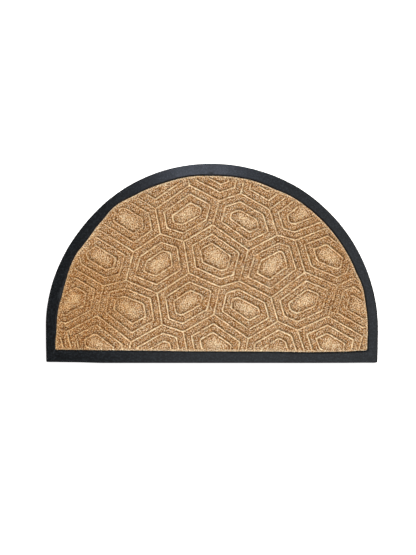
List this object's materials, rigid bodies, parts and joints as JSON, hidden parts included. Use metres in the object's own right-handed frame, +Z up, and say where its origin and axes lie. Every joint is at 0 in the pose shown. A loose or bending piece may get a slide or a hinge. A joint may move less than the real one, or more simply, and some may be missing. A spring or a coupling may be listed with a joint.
{
  "type": "half round doormat",
  "caption": "Half round doormat: a tan pile panel pressed with a tortoiseshell pattern, lying in a black rubber tray with a flat raised border.",
  "frame": {"origin": "on the floor, under the middle of the mat's length and depth", "axes": "+X along the straight front edge, +Y from the straight edge to the round one, +Z up out of the pile"},
  "size_m": [0.75, 0.45, 0.0075],
  "materials": {
    "black_rubber": "matt moulded rubber with a fine grain",
    "tan_pile": "short looped polypropylene pile, pressed in lines, mottled tan and brown"
  },
  "bodies": {
    "root": {"rubber_tray": "black_rubber", "pile_panel": "tan_pile"}
  },
  "joints": []
}
